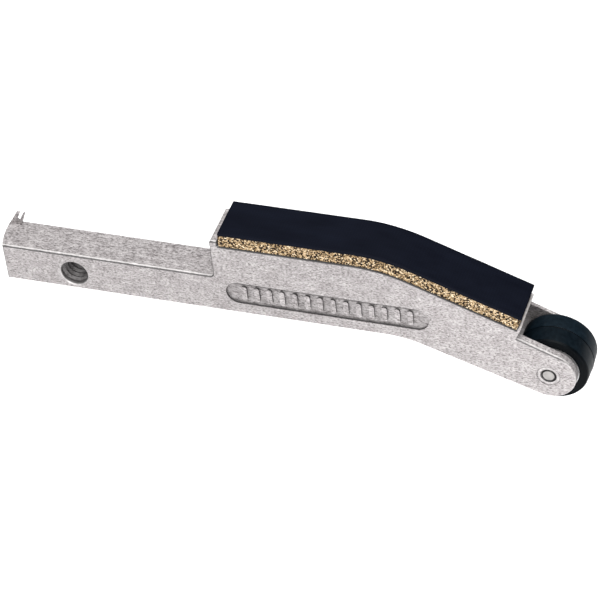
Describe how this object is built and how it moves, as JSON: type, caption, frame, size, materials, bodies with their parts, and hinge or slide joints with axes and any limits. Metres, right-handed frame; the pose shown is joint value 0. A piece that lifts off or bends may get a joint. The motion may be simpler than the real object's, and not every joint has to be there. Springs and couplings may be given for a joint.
{
  "type": "belt sander contact arm",
  "caption": "Cast contact arm for a narrow belt sander: square shank with a threaded hole, bent cork backing pad, and a ball-bearing rubber contact wheel in a fork.",
  "frame": {"origin": "on the axis of the threaded tool hole, half way between the fork's outer faces", "axes": "+X along the arm towards the contact wheel, +Z towards the pad side, +Y along the axle and the tool hole, away from the face with the window"},
  "size_m": [0.1342, 0.0126, 0.0358],
  "materials": {
    "cast_metal": "as cast and tumbled, satin",
    "adhesive": "dark contact glue",
    "cork": "granular cork, cut edge",
    "facing": "graphite coated canvas, matt to satin",
    "pin_steel": "ground",
    "bearing_steel": "polished",
    "cage_brass": "pressed",
    "shield_steel": "pressed",
    "hub_metal": "turned",
    "tyre_rubber": "ground rubber, satin"
  },
  "bodies": {
    "arm": {"arm_casting": "cast_metal", "pad_adhesive": "adhesive", "cork_pad": "cork", "pad_facing": "facing", "axle_pin": "pin_steel", "near_shim": "bearing_steel", "far_shim": "bearing_steel", "bearing_spacer": "bearing_steel", "near_inner_ring": "bearing_steel", "far_inner_ring": "bearing_steel"},
    "wheel": {"wheel_tyre": "tyre_rubber", "wheel_hub": "hub_metal", "near_outer_ring": "bearing_steel", "far_outer_ring": "bearing_steel", "near_outside_shield": "shield_steel", "near_inside_shield": "shield_steel", "far_outside_shield": "shield_steel", "far_inside_shield": "shield_steel"},
    "near_ball_set": {"near_balls": "bearing_steel", "near_cage": "cage_brass"},
    "far_ball_set": {"far_balls": "bearing_steel", "far_cage": "cage_brass"}
  },
  "joints": [
    {"name": "wheel_spin", "type": "hinge", "parent": "arm", "child": "wheel", "pos_m": [0.108, 0, -0.0093], "axis": [0, 1, 0], "continuous": true},
    {"name": "near_ball_set_spin", "type": "hinge", "parent": "arm", "child": "near_ball_set", "pos_m": [0.108, 0, -0.0093], "axis": [0, 1, 0], "continuous": true},
    {"name": "far_ball_set_spin", "type": "hinge", "parent": "arm", "child": "far_ball_set", "pos_m": [0.108, 0, -0.0093], "axis": [0, 1, 0], "continuous": true}
  ],
  "couplings": [
    {"joint": "near_ball_set_spin", "follows": "wheel_spin", "ratio": 0.625},
    {"joint": "far_ball_set_spin", "follows": "wheel_spin", "ratio": 0.625}
  ]
}
